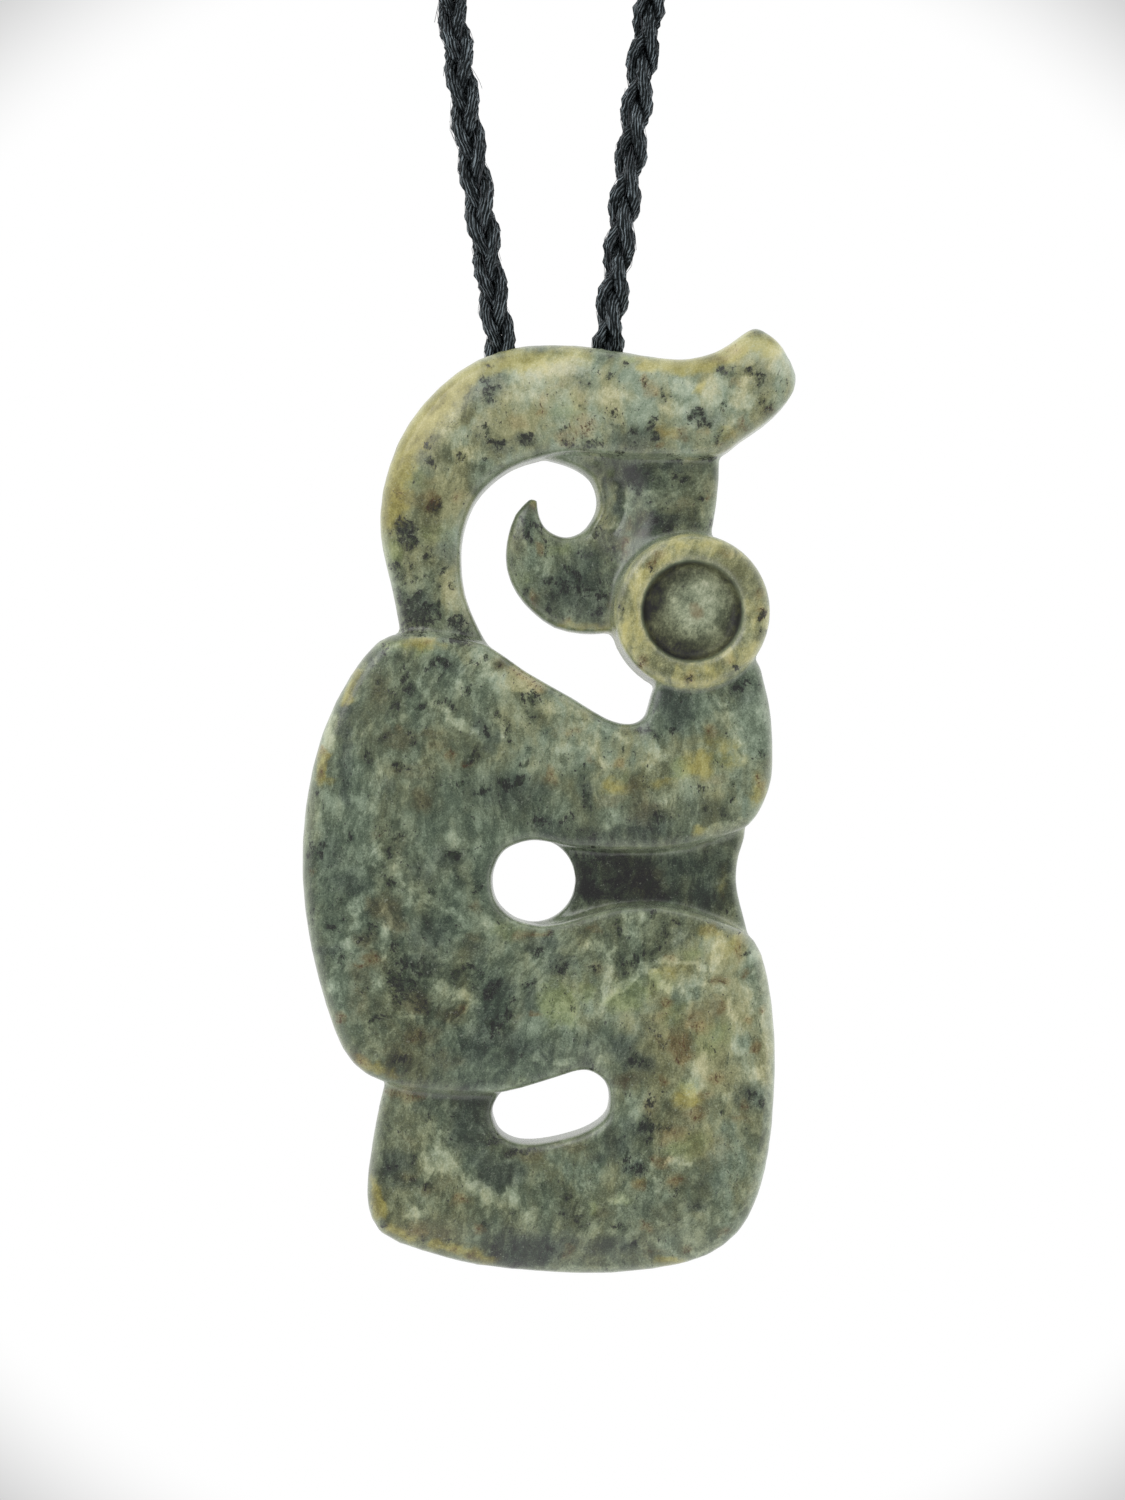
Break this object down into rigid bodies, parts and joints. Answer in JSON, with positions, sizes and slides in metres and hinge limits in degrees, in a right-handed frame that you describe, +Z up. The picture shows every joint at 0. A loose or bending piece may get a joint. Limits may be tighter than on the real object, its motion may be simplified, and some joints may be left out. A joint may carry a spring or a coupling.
{
  "type": "greenstone manaia pendant on a neck cord",
  "caption": "Flat carved greenstone figure with hooked beak, ringed eye, curled body and pierced openings, strung on a plaited neck cord closed by a knot at the nape.",
  "frame": {"origin": "under the closing knot, where the cord lies on the wearer's nape", "axes": "+X to the viewer's right, -Y to the front of the stone, +Z up; the stone hangs below the origin and its back is the plane Y = 3.2 mm"},
  "size_m": [0.0818, 0.0084, 0.4012],
  "materials": {
    "greenstone": "polished, mottled grey-green with dark flecks and cream streaks",
    "waxed_plait": "waxed black plait of fine twisted threads",
    "waxed_knot": "tightly wrapped waxed black thread"
  },
  "bodies": {
    "root": {"carved_stone": "greenstone", "neck_cord": "waxed_plait", "closing_knot": "waxed_knot"}
  },
  "joints": []
}
